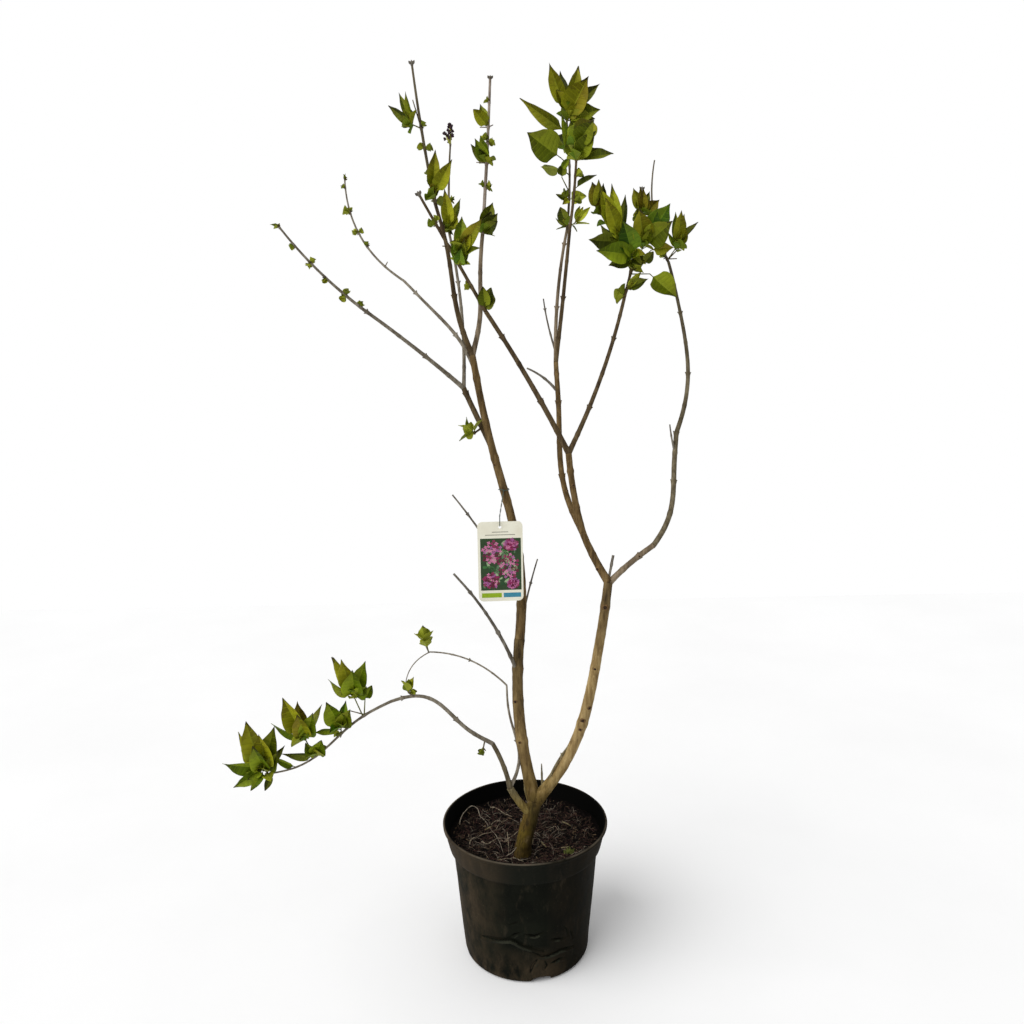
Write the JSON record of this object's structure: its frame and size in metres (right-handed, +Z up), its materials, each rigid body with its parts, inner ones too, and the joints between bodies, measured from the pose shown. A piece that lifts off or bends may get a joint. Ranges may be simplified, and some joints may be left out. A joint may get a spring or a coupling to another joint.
{
  "type": "potted shrub",
  "caption": "Young deciduous shrub in spring leaf with bare forking stems, growing in a round black nursery pot of soil, with a plant label tied to a stem.",
  "frame": {"origin": "centre of the pot's flat underside", "axes": "+Z up, out of the pot; -Y is the side that is viewed first, with the label's face; +X is to the viewer's right"},
  "size_m": [0.7435, 0.4125, 1.466],
  "materials": {
    "pot": "satin",
    "soil": "matte",
    "bark": "matte",
    "deadwood": "matte",
    "foliage": "satin",
    "label": "satin",
    "wire": "satin"
  },
  "bodies": {
    "root": {"pot": "pot", "soil": "soil", "trunk": "bark", "left_stem_lower": "bark", "right_stem": "bark", "left_stem_upper": "bark", "left_upright": "bark", "middle_upright": "bark", "curved_bough": "bark", "side_bough": "bark", "long_bough": "bark", "flower_bough": "bark", "right_stem_upper": "bark", "front_bough": "bark", "back_bough": "bark", "tall_bough_left": "bark", "tall_bough_right": "bark", "crossing_bough": "bark", "right_bough": "bark", "outer_bough_foot": "bark", "outer_bough_middle": "bark", "outer_bough_upper": "bark", "low_bough_foot": "bark", "low_bough_rise": "bark", "low_bough_arch": "bark", "thin_bough_foot": "bark", "thin_bough_arch": "bark", "dead_twig_low": "deadwood", "dead_twig_label": "deadwood", "dead_twig_inner": "deadwood", "dead_twig_high": "deadwood", "dead_twig_short": "deadwood", "spur_fork": "deadwood", "spur_outer": "deadwood", "stub_fork": "deadwood", "spike_foot": "deadwood", "stem_runner": "bark", "top_spray": "foliage", "top_right_spray": "foliage", "right_spray": "foliage", "outer_spray": "foliage", "left_spray": "foliage", "middle_spray": "foliage", "flower_spray": "foliage", "crossing_spray": "foliage", "curved_spray": "foliage", "long_spray": "foliage", "side_sprout": "foliage", "low_spray": "foliage", "arch_sprout": "foliage", "knee_sprout": "foliage", "thin_spray": "foliage", "label": "label", "label_tie": "wire"}
  },
  "joints": []
}
